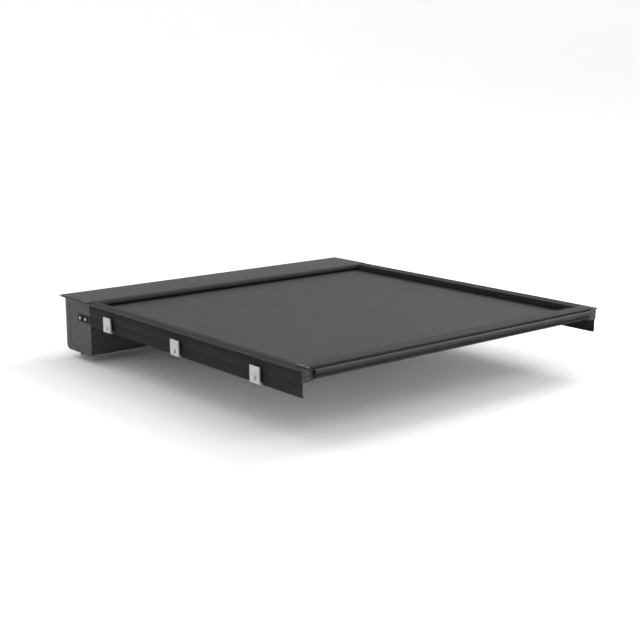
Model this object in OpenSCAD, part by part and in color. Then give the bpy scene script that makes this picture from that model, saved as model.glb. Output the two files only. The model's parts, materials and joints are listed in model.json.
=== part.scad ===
// Electric retractable roller cover for a pick-up bed.
// A vinyl-faced curtain of aluminium slats runs in two side rails and rolls on to a drum
// in a canister at the front of the bed. X is across the bed, +Y points to the cab, +Z is up.
// z = 0 is the top of the bed's lip; y = 0 lies under the canister's front flange.

/* [Cover] */
// Distance between the outer faces of the rail legs, which is the bed width inside its lips
cover_width = 1380; // [1300:1:1500]
// Distance from the bulkhead flange to the rear end of the rails
rail_rear = 1466; // [1300:1:1700]
// Travel of the lead bar from closed to open
travel = 1205; // [1000:1:1500]
// Number of slats in the curtain
slat_count = 40; // [30:2:60]

/* [Curtain] */
// Depth of the curtain's upper face below the bed's lip
curtain_drop = 22; // [10:0.5:30]
// Thickness of the vinyl skin
skin_thickness = 1.2; // [0.8:0.1:2]
// Height of a slat
slat_height = 9; // [6:0.5:12]
// Wall thickness of a slat
slat_wall = 1.2; // [1:0.1:2]
// Gap between neighbouring slats
slat_gap = 0.35; // [0.2:0.05:1]

/* [Rails] */
// Wall thickness of the rail extrusion
rail_wall = 3; // [2:0.5:4]
// Width of the rail's top flange
rail_top_width = 46; // [40:1:60]
// Height of the channel that the slats run in
channel_height = 15; // [14:0.5:20]
// Depth of the rail leg below the bed's lip
leg_depth = 84; // [80:1:100]

/* [Clamps] */
// Width of the gap that takes the bed's sheet-metal lip
lip_gap = 6; // [5:0.5:10]
// Length of a clamp jaw along the rail
clamp_length = 50; // [40:1:80]

/* [Canister] */
// Depth of the canister below the bed's lip
canister_depth = 205; // [180:1:240]
// Distance from the bulkhead flange to the canister's rear face
canister_rear = 200; // [180:1:240]
// Wall thickness of the canister
shell_wall = 2.5; // [2:0.5:4]
// Radius of the winding tube
drum_radius = 30; // [25:1:40]
// Radius of the guide roller at the mouth
roller_radius = 10; // [8:0.5:12]

/* [Controls] */
// Radius of a push button
button_radius = 9; // [6:0.5:12]
// Travel of a push button
button_travel = 2.5; // [1:0.1:4]

/* [Hidden] */
half = cover_width / 2;
leg_in = half - rail_wall;
flange_out = leg_in - 35 + rail_top_width;
wall_out = leg_in - 32;
wall_in = wall_out - rail_wall;
skin_top = -curtain_drop;
slat_top = skin_top - skin_thickness;
slat_low = slat_top - slat_height;
channel_top = skin_top + 2.5;
channel_low = channel_top - channel_height;
felt_low = skin_top + 0.3;
wear_top = slat_low - 0.3;
slat_end = leg_in - 7;
skin_end = leg_in - 11;
curtain_front = -190;
curtain_rear = -(rail_rear - 58);
slat_pitch = (curtain_front - curtain_rear) / slat_count;
slats_per_node = 2;

bar_rear = -(rail_rear + 4);
bar_end = wall_in - 1.5;
bar_tip = wall_in + 13;
bar_low = slat_low + 0.2;

end_in = leg_in - 4;
shell_front = -6;
flange_front = 12;
front_in = shell_front - shell_wall;
corner_r = 20;
tongue_front = -110;

drum_y = -105;
drum_z = -118;
drum_bore = drum_radius - 3;
drum_end = 655;
roller_y = -186;
roller_z = slat_low - 0.2 - roller_radius;
roller_end = 660;
sheet_t = 1.2;
sheet_gap = 0.3;

nose_r = 17;
nose_y = -175;
nose_z = 6 - nose_r;

clamp_y = [-350, -800, -1250];
bolt_z = -64;
jaw_in = half + lip_gap + 2;
jaw_out = jaw_in + 6;
bolt_r = 4;
joiner_y = [-130, -170];
drain_x = 640;
drain_y = -40;
button_x = [-525, -475];
button_z = -130;
panel_x = -560;
panel_w = 120;
panel_y = -222;
panel_z = -150;
panel_h = 40;

charcoal = [0.16, 0.165, 0.175];
black = [0.06, 0.06, 0.065];
bare = [0.72, 0.73, 0.75];
steel = [0.6, 0.6, 0.62];

slat_nodes = [for (i = [1:slat_count / slats_per_node]) str("slats_", i < 10 ? "0" : "", i)];

// A profile drawn in Y and Z, run along X from x0 to x1
module along_x(x0, x1) {
    translate([x0, 0, 0]) rotate([90, 0, 90]) linear_extrude(x1 - x0) children();
}

// A profile drawn in X and Z, run along Y from y0 to y1
module along_y(y0, y1) {
    translate([0, y1, 0]) rotate([90, 0, 0]) linear_extrude(y1 - y0) children();
}

// The children on the right-hand side and mirrored on the left
module both_sides() {
    children();
    mirror([1, 0, 0]) children();
}

// A rectangle between two corners
module rect(x0, x1, y0, y1) {
    translate([x0, y0]) square([x1 - x0, y1 - y0]);
}

// A cylinder along X from x0 to x1, at a place in Y and Z
module rod_x(x0, x1, y, z, r) {
    translate([x0, y, z]) rotate([0, 90, 0]) cylinder(h = x1 - x0, r = r, $fn = 64);
}

// A cylinder along Y from y0 to y1, at a place in X and Z
module rod_y(x, y0, y1, z, r) {
    translate([x, y1, z]) rotate([90, 0, 0]) cylinder(h = y1 - y0, r = r, $fn = 64);
}

// A flat ring between two radii
module ring(r_out, r_in) {
    difference() {
        circle(r_out, $fn = 96);
        circle(r_in, $fn = 96);
    }
}

// A quarter of a ring; sx and sy choose the quadrant
module quarter_bend(y, z, r_out, t, sx, sy) {
    translate([y, z]) intersection() {
        ring(r_out, r_out - t);
        translate([sx < 0 ? -r_out : 0, sy < 0 ? -r_out : 0]) square(r_out);
    }
}

// ---- canister ----

screw_ports = [[-191, -96], [-189, -194], [-17, -194], [-12.5, -40]];

module shell_profile() {
    difference() {
        union() {
            rect(-canister_rear, -canister_rear + shell_wall, -canister_depth + corner_r, -48);
            translate([-canister_rear + shell_wall / 2, -48]) circle(2, $fn = 32);
            quarter_bend(-canister_rear + corner_r, -canister_depth + corner_r,
                corner_r, shell_wall, -1, -1);
            rect(-canister_rear + corner_r, shell_front - corner_r,
                -canister_depth, -canister_depth + shell_wall);
            quarter_bend(shell_front - corner_r, -canister_depth + corner_r,
                corner_r, shell_wall, 1, -1);
            rect(front_in, shell_front, -canister_depth + corner_r, 3);
            rect(front_in, flange_front, 0, 3);
            for (p = screw_ports) translate(p) circle(7, $fn = 48);
        }
        for (p = screw_ports) translate(p) circle(2.1, $fn = 32);
        rect(-canister_rear - 20, -canister_rear, -canister_depth, 0);
        rect(shell_front, shell_front + 10, -canister_depth, 0);
        difference() {
            rect(-canister_rear - 1, shell_front + 1, -canister_depth - 10, -canister_depth + corner_r);
            end_outline();
        }
    }
}

module end_outline() {
    translate([-canister_rear + corner_r, -canister_depth + corner_r]) circle(corner_r, $fn = 96);
    translate([shell_front - corner_r, -canister_depth + corner_r]) circle(corner_r, $fn = 96);
    rect(-canister_rear + corner_r, shell_front - corner_r, -canister_depth, 0);
    rect(-canister_rear, shell_front, -canister_depth + corner_r, 0);
}

module canister_shell() {
    color(charcoal) difference() {
        along_x(-end_in, end_in) shell_profile();
        for (s = [-1, 1]) translate([s * drain_x, drain_y, -canister_depth - 1])
            cylinder(h = 5, r = 6, $fn = 48);
        rod_y(600, -canister_rear - 1, -canister_rear + 5, -170, 6);
        for (x = button_x) rod_y(x, -canister_rear - 1, -canister_rear + 5, button_z + 12, 3);
        for (p = lid_screw_places()) translate([p[0], p[1], -1]) cylinder(h = 6, r = 2.5, $fn = 32);
    }
}

module lid_profile() {
    rect(nose_y, flange_front, 3, 6);
    quarter_bend(nose_y, nose_z, nose_r, 3, -1, 1);
    rect(-189, -168, nose_z, nose_z + 2.4);
    rect(-171, -168, nose_z, 4);
}

module canister_lid() {
    color(charcoal) difference() {
        union() {
            along_x(-end_in + 1, end_in - 1) lid_profile();
            both_sides() translate([end_in - 1, -197, 3])
                cube([flange_out - end_in + 1, 197 + flange_front, 3]);
        }
        for (p = lid_screw_places()) translate([p[0], p[1], 0]) {
            cylinder(h = 8, r = 2.7, $fn = 32);
            translate([0, 0, 3.5]) cylinder(h = 2.51, r1 = 2.7, r2 = 5.2, $fn = 48);
        }
    }
}

function lid_screw_places() = concat(
    [for (s = [-1, 1], y = [-30, -100, -170]) [s * (end_in + 7), y]],
    [for (x = [-480, -160, 160, 480]) [x, -2]]
);

module lid_screws() {
    color(steel) for (p = lid_screw_places()) translate([p[0], p[1], 0]) difference() {
        union() {
            translate([0, 0, 0.4]) cylinder(h = 3, r = 2.4, $fn = 32);
            translate([0, 0, 3.4]) cylinder(h = 2.3, r1 = 2.4, r2 = 4.7, $fn = 48);
        }
        translate([0, 0, 3.9]) cylinder(h = 4, r = 1.8, $fn = 6);
    }
}

module end_plate() {
    difference() {
        union() {
            along_x(end_in, leg_in) end_outline();
            translate([end_in, -canister_rear, 0])
                cube([flange_out - end_in, canister_rear + front_in, 3]);
        }
        for (p = screw_ports) rod_x(end_in - 1, leg_in + 1, p[0], p[1], 2.7);
        for (y = joiner_y) rod_x(end_in - 1, leg_in + 1, y, bolt_z, 3.3);
        for (y = [-30, -100, -170]) translate([end_in + 7, y, -10])
            cylinder(h = 20, r = 2.5, $fn = 32);
    }
}

module end_plate_left() {
    color(charcoal) mirror([1, 0, 0]) end_plate();
}

module end_plate_right() {
    color(charcoal) end_plate();
}

module end_plate_screws() {
    color(steel) both_sides() for (p = screw_ports) difference() {
        union() {
            rod_x(end_in - 16, leg_in, p[0], p[1], 2);
            rod_x(leg_in, leg_in + 2.4, p[0], p[1], 4.6);
        }
        translate([leg_in + 1, p[0], p[1]]) rotate([0, 90, 0]) cylinder(h = 3, r = 1.8, $fn = 6);
    }
}

module mouth_brush() {
    color(black) along_x(-end_in + 3, end_in - 3) {
        rect(-189, -179, nose_z - 4, nose_z);
        rect(-186.5, -182, skin_top + 0.3, nose_z - 4);
    }
}

module guide_roller() {
    color(bare) difference() {
        union() {
            rod_x(-roller_end, roller_end, roller_y, roller_z, roller_radius);
            rod_x(-end_in + 3, end_in - 3, roller_y, roller_z, 4);
        }
        rod_x(-roller_end + 20, -120, roller_y, roller_z, roller_radius - 2);
        rod_x(-100, 100, roller_y, roller_z, roller_radius - 2);
        rod_x(120, roller_end - 20, roller_y, roller_z, roller_radius - 2);
    }
}

module guide_roller_bushes() {
    color(black) both_sides() difference() {
        rod_x(roller_end + 4, end_in, roller_y, roller_z, 8.5);
        rod_x(roller_end + 3, end_in - 1.5, roller_y, roller_z, 4.05);
    }
}

// ---- drum and drive ----

module drum_tube() {
    color(bare) difference() {
        rod_x(-drum_end, drum_end, drum_y, drum_z, drum_radius);
        rod_x(-drum_end - 1, drum_end + 1, drum_y, drum_z, drum_bore);
    }
}

module drive_crown() {
    color(black) difference() {
        rod_x(212, 230, drum_y, drum_z, drum_bore - 0.05);
        rod_x(211, 231, drum_y, drum_z, 6.05);
        for (a = [0:60:300]) translate([211, drum_y, drum_z]) rotate([a, 0, 0])
            translate([0, 17, 0]) rotate([0, 90, 0]) cylinder(h = 20, r = 4, $fn = 32);
    }
}

module head_ring() {
    color(black) difference() {
        union() {
            rod_x(641, drum_end, drum_y, drum_z, drum_bore - 0.05);
            rod_x(drum_end, drum_end + 3, drum_y, drum_z, drum_radius);
        }
        rod_x(640, drum_end + 4, drum_y, drum_z, 23.05);
    }
}

module idler_plug() {
    color(black) difference() {
        union() {
            rod_x(-drum_end, -drum_end + 40, drum_y, drum_z, drum_bore - 0.05);
            rod_x(-drum_end - 3, -drum_end, drum_y, drum_z, drum_radius);
            rod_x(-end_in + 3, -drum_end, drum_y, drum_z, 6);
        }
        rod_x(-drum_end + 6, -drum_end + 41, drum_y, drum_z, 22);
    }
}

module idler_bearing() {
    color(steel) difference() {
        union() {
            rod_x(-end_in, -end_in + 10, drum_y, drum_z, 16);
            translate([-end_in, drum_y - 28, drum_z - 28]) cube([4, 56, 56]);
        }
        rod_x(-end_in + 2, -end_in + 11, drum_y, drum_z, 6.05);
        for (sy = [-1, 1], sz = [-1, 1])
            rod_x(-end_in - 1, -end_in + 5, drum_y + sy * 21, drum_z + sz * 21, 2.2);
    }
}

module tubular_motor() {
    color(steel) {
        rod_x(206, 232, drum_y, drum_z, 6);
        rod_x(232, 640, drum_y, drum_z, 22.5);
        rod_x(640, 659, drum_y, drum_z, 23);
        rod_x(659, 667, drum_y, drum_z, 28);
        translate([667, drum_y - 8, drum_z - 8]) cube([12, 16, 16]);
    }
}

module motor_bracket() {
    color(steel) difference() {
        union() {
            translate([end_in - 10, drum_y - 18, drum_z - 18]) cube([10, 36, 36]);
            translate([end_in - 4, drum_y - 32, drum_z - 32]) cube([4, 64, 64]);
        }
        translate([end_in - 11, drum_y - 8.2, drum_z - 8.2]) cube([7.2, 16.4, 16.4]);
        for (sy = [-1, 1], sz = [-1, 1])
            rod_x(end_in - 5, end_in + 1, drum_y + sy * 25, drum_z + sz * 25, 2.2);
    }
}

// Points on an arc about a centre, from one angle to another in equal steps
function arc(centre, r, from, to, steps) =
    [for (i = [0:steps]) let (a = from + (to - from) * i / steps) centre + r * [cos(a), sin(a)]];

// The sheet between the drum and the first slat, tangent to roller and drum
module leader_sheet() {
    roller = [roller_y, roller_z];
    drum = [drum_y, drum_z];
    r1 = roller_radius + sheet_gap;
    r2 = drum_radius + sheet_gap + 0.1;
    lean = atan2(drum[1] - roller[1], drum[0] - roller[0]) + acos((r1 - r2) / norm(drum - roller));
    wrap = 330;
    start = curtain_front + 0.2;
    color(black) along_x(-640, 640) polygon(concat(
        [[start, roller_z + r1]],
        arc(roller, r1, 90, lean, 6),
        arc(drum, r2, lean, lean - wrap, 44),
        arc(drum, r2 + sheet_t, lean - wrap, lean, 44),
        arc(roller, r1 + sheet_t, lean, 90, 6),
        [[start, roller_z + r1 + sheet_t]]
    ));
}

// ---- fittings on the canister ----

module drain_spouts() {
    color(black) for (s = [-1, 1]) translate([s * drain_x, drain_y, 0]) difference() {
        union() {
            translate([0, 0, -canister_depth - 27]) cylinder(h = 27, r = 8, $fn = 64);
            translate([0, 0, -canister_depth - 3]) cylinder(h = 3, r = 15, $fn = 64);
        }
        translate([0, 0, -canister_depth - 28]) cylinder(h = 29, r = 6, $fn = 64);
    }
}

module control_housing() {
    color(black) difference() {
        translate([panel_x, panel_y, panel_z]) cube([panel_w, -canister_rear - panel_y, panel_h]);
        translate([panel_x + 3, panel_y + 3, panel_z + 3])
            cube([panel_w - 6, -canister_rear - panel_y - 2, panel_h - 6]);
        for (x = button_x) rod_y(x, panel_y - 1, panel_y + 4, button_z, button_radius + 0.3);
    }
}

module control_board() {
    color([0.05, 0.25, 0.12]) {
        translate([panel_x + 6, -204, panel_z + 5]) cube([panel_w - 12, 1.6, panel_h - 10]);
        for (x = button_x) translate([x - 6, -208, button_z - 6]) cube([12, 4, 12]);
    }
}

module push_button(x) {
    rod_y(x, panel_y - 4, -212.5, button_z, button_radius);
    rod_y(x, panel_y + 3.3, panel_y + 5.3, button_z, button_radius + 2);
}

module open_button() {
    color(steel) push_button(button_x[1]);
}

module close_button() {
    color(steel) push_button(button_x[0]);
}

module power_socket() {
    color(black) {
        difference() {
            union() {
                rod_y(600, -canister_rear - 14, -canister_rear, -170, 11);
                rod_y(600, -canister_rear - 3, -canister_rear, -170, 16);
            }
            rod_y(600, -canister_rear - 15, -canister_rear - 4, -170, 8.5);
        }
        for (s = [-1, 1]) rod_y(600 + s * 3.5, -canister_rear - 12, -canister_rear - 3, -170, 1.2);
    }
}

// ---- rails ----

module rail_profile() {
    rect(wall_in, flange_out, 0, rail_wall);
    rect(wall_in, wall_out, channel_top, rail_wall);
    rect(wall_in, half, channel_top, channel_top + rail_wall);
    rect(wall_in - 2, half, channel_low - rail_wall, channel_low);
    rect(leg_in, half, -leg_depth, rail_wall);
    rect(leg_in - 6, half, -leg_depth, -leg_depth + rail_wall);
}

module rail() {
    difference() {
        union() {
            along_y(-rail_rear, -canister_rear) difference() {
                rail_profile();
                for (z = [-10, -46]) rect(half - 0.6, half + 1, z - 2, z);
                rect(flange_out - 12, flange_out - 10, rail_wall - 0.6, rail_wall + 1);
            }
            translate([leg_in, -canister_rear, -leg_depth + 6])
                cube([rail_wall, canister_rear + tongue_front, 26]);
        }
        for (y = clamp_y) rod_x(leg_in - 1, half + 1, y, bolt_z, bolt_r + 0.5);
        for (y = joiner_y) rod_x(leg_in - 1, half + 1, y, bolt_z, 3.3);
    }
}

module rail_left() {
    color(charcoal) mirror([1, 0, 0]) rail();
}

module rail_right() {
    color(charcoal) rail();
}

module rail_seals() {
    color(black) both_sides() along_y(-rail_rear, flange_front) {
        rect(flange_out, flange_out + 2, 0.4, 2.6);
        translate([flange_out + 3, 2]) circle(2, $fn = 48);
    }
}

module rail_felts() {
    color(black) both_sides() along_y(-rail_rear, -canister_rear)
        rect(wall_out - 1, leg_in - 1, felt_low, channel_top);
}

module rail_wear_strips() {
    color([0.85, 0.85, 0.83]) both_sides() along_y(-rail_rear, -canister_rear)
        rect(wall_out - 1, leg_in - 1, channel_low, wear_top);
}

module rail_end_caps() {
    color(black) both_sides() along_y(-rail_rear - 4, -rail_rear) {
        rect(wall_in, flange_out, -0.5, rail_wall);
        rect(wall_in, half, channel_low - rail_wall, 0);
    }
}

module rail_joiners() {
    color(steel) both_sides() for (y = joiner_y) {
        rod_x(end_in - 8, half, y, bolt_z, 3);
        translate([half, y, bolt_z]) rotate([0, 90, 0]) cylinder(h = 4, r = 5.8, $fn = 6);
        translate([end_in - 5, y, bolt_z]) rotate([0, 90, 0]) difference() {
            cylinder(h = 5, r = 5.8, $fn = 6);
            translate([0, 0, -1]) cylinder(h = 7, r = 3.05, $fn = 48);
        }
    }
}

// ---- clamps ----

module clamp_jaws() {
    color(bare) both_sides() for (y = clamp_y) difference() {
        along_y(y - clamp_length / 2, y + clamp_length / 2) {
            rect(jaw_in, jaw_out, -82, -26);
            rect(half, jaw_out, -82, -76);
        }
        rod_x(jaw_in - 1, jaw_out + 1, y, bolt_z, bolt_r + 0.5);
    }
}

module clamp_pads() {
    color(black) both_sides() for (y = clamp_y)
        translate([half + lip_gap, y - clamp_length / 2 + 2, -50])
            cube([2, clamp_length - 4, 22]);
}

module clamp_bolts() {
    color(steel) both_sides() for (y = clamp_y) {
        rod_x(leg_in - 1.6, leg_in, y, bolt_z, 8.5);
        rod_x(leg_in, jaw_out + 9, y, bolt_z, bolt_r);
        translate([leg_in - 7, y, bolt_z]) rotate([0, 90, 0]) cylinder(h = 5.5, r = 7.5, $fn = 6);
    }
}

module clamp_nuts() {
    color(steel) both_sides() for (y = clamp_y) translate([jaw_out, y, bolt_z])
        rotate([0, 90, 0]) difference() {
            cylinder(h = 6.5, r = 7.5, $fn = 6);
            translate([0, 0, -1]) cylinder(h = 9, r = bolt_r + 0.05, $fn = 64);
        }
}

// ---- lead bar ----

module bar_outline() {
    polygon([
        [bar_rear, bar_low], [curtain_rear, bar_low], [curtain_rear, 1], [curtain_rear - 5, 6],
        [bar_rear + 6, 8], [bar_rear, 2]
    ]);
    translate([bar_rear + 6, 2]) circle(6, $fn = 64);
    translate([curtain_rear - 5, 1]) circle(5, $fn = 64);
}

module bar_cells() {
    polygon([
        [bar_rear + 2.5, bar_low + 2.5], [bar_rear + 29, bar_low + 2.5], [bar_rear + 29, 4.6],
        [bar_rear + 6, 5.5], [bar_rear + 2.5, 2]
    ]);
    polygon([
        [bar_rear + 31.5, bar_low + 2.5], [curtain_rear - 2.5, bar_low + 2.5],
        [curtain_rear - 2.5, 1], [curtain_rear - 5, 3.5], [bar_rear + 31.5, 4.5]
    ]);
}

module bar_groove() {
    rect(curtain_rear - 11, curtain_rear - 9.5, 5.4, 10);
}

// The part of the bar that reaches over the rails
module wing_outline() {
    intersection() {
        bar_outline();
        rect(bar_rear - 1, curtain_rear + 1, rail_wall + 1, 20);
    }
}

module lead_bar() {
    color(charcoal) {
        along_x(-bar_end, bar_end) difference() {
            bar_outline();
            bar_cells();
            bar_groove();
        }
        both_sides() along_x(bar_end, bar_tip) difference() {
            wing_outline();
            bar_groove();
        }
    }
}

module lead_bar_caps() {
    color(black) both_sides() along_x(bar_tip, bar_tip + 4) wing_outline();
}

module lead_bar_glides() {
    color(black) both_sides()
        translate([bar_end, bar_rear + 6, slat_low])
            cube([leg_in - 2 - bar_end, 52, slat_height + 1]);
}

module skin_clamp_strip() {
    color(bare) translate([-bar_end, curtain_rear, skin_top + 0.1])
        cube([2 * bar_end, 8, 1.8]);
}

module tail_seal() {
    color(black) along_x(-bar_end, bar_end) {
        rect(bar_rear - 4, bar_rear, -26, -1);
        translate([bar_rear - 6.5, -8]) difference() {
            circle(6.5, $fn = 96);
            circle(4.7, $fn = 96);
        }
        rect(bar_rear - 12, bar_rear - 4, -26, -23);
    }
}

// ---- curtain ----

module curtain_skin() {
    color(charcoal) translate([-skin_end, curtain_rear, slat_top])
        cube([2 * skin_end, curtain_front - curtain_rear, skin_thickness]);
}

module slat_profile() {
    w = slat_pitch - slat_gap;
    foot = 1.6;
    difference() {
        polygon([[0, slat_top], [w, slat_top], [w, slat_top - 3], [w - foot, slat_low],
            [foot, slat_low], [0, slat_top - 3]]);
        rect(slat_wall + 1, w / 2 - slat_wall / 2, slat_low + slat_wall, slat_top - slat_wall);
        rect(w / 2 + slat_wall / 2, w - slat_wall - 1, slat_low + slat_wall, slat_top - slat_wall);
    }
}

// Slat groups are counted from the canister to the tail
module slats(group) {
    color(bare) for (k = [0:slats_per_node - 1]) {
        front = curtain_front - ((group - 1) * slats_per_node + k) * slat_pitch;
        translate([0, front - slat_pitch + slat_gap / 2, 0])
            along_x(-slat_end, slat_end) slat_profile();
    }
}

canister_shell();
canister_lid();
lid_screws();
end_plate_left();
end_plate_right();
end_plate_screws();
mouth_brush();
guide_roller();
guide_roller_bushes();
drum_tube();
drive_crown();
head_ring();
idler_plug();
idler_bearing();
tubular_motor();
motor_bracket();
leader_sheet();
drain_spouts();
control_housing();
control_board();
open_button();
close_button();
power_socket();
rail_left();
rail_right();
rail_seals();
rail_felts();
rail_wear_strips();
rail_end_caps();
rail_joiners();
clamp_jaws();
clamp_pads();
clamp_bolts();
clamp_nuts();
lead_bar();
lead_bar_caps();
lead_bar_glides();
skin_clamp_strip();
tail_seal();
curtain_skin();
for (i = [0:len(slat_nodes) - 1]) slats(i + 1);
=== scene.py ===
import json
import math
import random

import bmesh
import bpy
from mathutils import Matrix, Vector
from mathutils.geometry import tessellate_polygon


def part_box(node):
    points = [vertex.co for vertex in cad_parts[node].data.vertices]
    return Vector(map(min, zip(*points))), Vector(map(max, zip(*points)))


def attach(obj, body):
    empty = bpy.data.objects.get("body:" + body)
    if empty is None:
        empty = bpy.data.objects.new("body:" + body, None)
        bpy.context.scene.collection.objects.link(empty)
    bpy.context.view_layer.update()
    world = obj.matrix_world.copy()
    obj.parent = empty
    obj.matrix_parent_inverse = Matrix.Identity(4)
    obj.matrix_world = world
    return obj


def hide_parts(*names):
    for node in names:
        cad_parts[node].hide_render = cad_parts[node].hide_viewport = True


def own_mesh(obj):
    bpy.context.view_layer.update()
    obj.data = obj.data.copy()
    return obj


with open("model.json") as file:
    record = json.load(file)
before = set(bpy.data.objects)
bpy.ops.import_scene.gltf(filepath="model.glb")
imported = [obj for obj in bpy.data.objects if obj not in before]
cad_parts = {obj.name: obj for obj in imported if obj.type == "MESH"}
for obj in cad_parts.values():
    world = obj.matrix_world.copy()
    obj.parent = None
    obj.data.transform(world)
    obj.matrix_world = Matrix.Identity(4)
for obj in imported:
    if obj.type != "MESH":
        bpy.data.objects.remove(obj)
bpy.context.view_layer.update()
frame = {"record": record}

# Lengths are in millimetres in this script, and become metres where vertices are made.
MM = 0.001


def low(node, axis):
    """The lowest place of a CAD node along x, y or z."""
    return round(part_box(node)[0]["xyz".index(axis)] / MM, 2)


def high(node, axis):
    """The highest place of a CAD node along x, y or z."""
    return round(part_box(node)[1]["xyz".index(axis)] / MM, 2)


def middle(node, axis):
    return (low(node, axis) + high(node, axis)) / 2


# ---------- places, from the frame ----------

RAIL_WALL = 3.0
CANISTER_REAR = low("end_plate_right", "y")
FLANGE_OUT = high("rail_right", "x")
FLANGE_TOP = high("rail_right", "z")
LEG_LOW = low("rail_right", "z")
RAIL_REAR = low("rail_right", "y")
TONGUE_FRONT = high("rail_right", "y")
WALL_IN = low("rail_right", "x") + 2.0
WALL_OUT = WALL_IN + RAIL_WALL
CHANNEL_TOP = high("rail_felts", "z")
CHANNEL_LOW = low("rail_wear_strips", "z")
RAIL_STATIONS = [RAIL_REAR, -1000.0, -600.0, CANISTER_REAR]
CAP_SCREWS = [(side * 671.0, z) for side in (1, -1) for z in (-8.5, -27.0)]

END_IN = low("end_plate_right", "x")
LEG_IN = END_IN + 4.0
HALF = LEG_IN + RAIL_WALL
CANISTER_LOW = low("end_plate_right", "z")
SHELL_FRONT = high("end_plate_right", "y")
LID_TOP = high("canister_lid", "z")
LID_FRONT = high("canister_lid", "y")
CORNER = 20.0
SHEET = 2.5
# The nose over the curtain's mouth: its rear and front faces, and its lower edge.
NOSE_REAR, NOSE_FRONT, NOSE_LOW = -192.0, -168.0, -11.0

SKIN_TOP = high("curtain_skin", "z")
SLAT_TOP = low("curtain_skin", "z")
SLAT_LOW = low("slats_01", "z")
SLAT_END = high("slats_01", "x")
SKIN_END = high("curtain_skin", "x")
CURTAIN_FRONT = high("curtain_skin", "y")
CURTAIN_REAR = low("curtain_skin", "y")
SLATS = 40
PITCH = (CURTAIN_FRONT - CURTAIN_REAR) / SLATS
SLAT_GAP = 0.35

BAR_REAR = low("lead_bar", "y")
BAR_LOW = low("lead_bar", "z")
BAR_TIP = high("lead_bar", "x")
BAR_END = high("skin_clamp_strip", "x")
BAR_CAP_END = high("lead_bar_caps", "x")

ROLLER = (middle("guide_roller", "y"), middle("guide_roller", "z"))
ROLLER_R = 10.0
DRUM = (middle("drum_tube", "y"), middle("drum_tube", "z"))
DRUM_END = high("drum_tube", "x")
DRUM_R = 30.0
BORE_R = 27.0
CROWN_ENDS = [low("drive_crown", "x"), high("drive_crown", "x")]
HEAD_ENDS = (low("head_ring", "x"), high("head_ring", "x"))
PLUG_ENDS = (low("idler_plug", "x"), high("idler_plug", "x"))
MOTOR_ENDS = (low("tubular_motor", "x"), high("tubular_motor", "x"))

CLAMP_Y = (-350.0, -800.0, -1250.0)
JOINER_Y = (-130.0, -170.0)
BOLT_Z = -64.0
# Hole radii for the clamps' M8 bolts, the M6 bolts between rail and canister, and the lid's screws.
CLAMP_HOLE, JOINER_HOLE, LID_HOLE = 4.5, 3.3, 2.5
JAW_OUT = high("clamp_jaws", "x")
# Screw ports along the shell, as (y, z, radius), and the lid's screws, as (x, y).
PORTS = ((-191.0, -96.0, 7.0), (-189.0, -194.0, 7.0), (-17.0, -194.0, 7.0), (-12.5, -40.0, 6.5))
LID_SCREWS = ([(side * (END_IN + 7), y) for side in (-1, 1) for y in (-30, -100, -170)]
              + [(x, -2) for x in (-480, -160, 160, 480)])

PANEL = [(low("control_housing", axis), high("control_housing", axis)) for axis in "xyz"]
BUTTONS = ("open_button", "close_button")
BUTTON_Z = middle("open_button", "z")
SOCKET = (middle("power_socket", "x"), middle("power_socket", "z"))
DRAIN = (high("drain_spouts", "x") - 15.0, middle("drain_spouts", "y"))

slot_of = {s["node"]: s["material_slot"] for s in frame["record"]["subparts"]}
body_of = {n: b for b, ns in frame["record"]["behaviour"]["bodies"].items() for n in ns}


# ---------- materials ----------

def texture(tree, coords, kind, scale, detail=3.0, stretch=(1, 1, 1), rough=0.55):
    """Noise, or pebbled cells, in object space. The scale is in cells per metre."""
    mapping = tree.nodes.new("ShaderNodeMapping")
    mapping.inputs["Scale"].default_value = stretch
    tree.links.new(coords.outputs["Object"], mapping.inputs["Vector"])
    if kind == "noise":
        made = tree.nodes.new("ShaderNodeTexNoise")
        made.inputs["Detail"].default_value = detail
        made.inputs["Roughness"].default_value = rough
    else:
        made = tree.nodes.new("ShaderNodeTexVoronoi")
        made.feature = "SMOOTH_F1"
        made.inputs["Smoothness"].default_value = 0.4
    made.inputs["Scale"].default_value = scale
    tree.links.new(mapping.outputs["Vector"], made.inputs["Vector"])
    return made.outputs["Fac" if kind == "noise" else "Distance"]


def remap(tree, value, to_low, to_high, start=0.3, end=0.7):
    made = tree.nodes.new("ShaderNodeMapRange")
    for name, number in (("From Min", start), ("From Max", end), ("To Min", to_low), ("To Max", to_high)):
        made.inputs[name].default_value = number
    tree.links.new(value, made.inputs["Value"])
    return made.outputs["Result"]


def mix(tree, factor, a, b):
    """A colour between a and b, each of which is a colour or a socket."""
    made = tree.nodes.new("ShaderNodeMix")
    made.data_type = "RGBA"
    tree.links.new(factor, made.inputs["Factor"])
    for socket, value in ((made.inputs[6], a), (made.inputs[7], b)):
        if isinstance(value, bpy.types.NodeSocket):
            tree.links.new(value, socket)
        else:
            socket.default_value = (*value, 1.0)
    return made.outputs[2]


def bump(tree, height, depth, before=None):
    made = tree.nodes.new("ShaderNodeBump")
    made.inputs["Strength"].default_value = 1.0
    made.inputs["Distance"].default_value = depth * MM
    tree.links.new(height, made.inputs["Height"])
    if before is not None:
        tree.links.new(before, made.inputs["Normal"])
    return made.outputs["Normal"]


def scaled(color, k):
    return tuple(min(1.0, c * k) for c in color)


ALONG_X = (3.0, 1400.0, 1400.0)
ALONG_Y = (1400.0, 3.0, 1400.0)
PALE_DUST = (0.30, 0.29, 0.27)


look = {}


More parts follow.
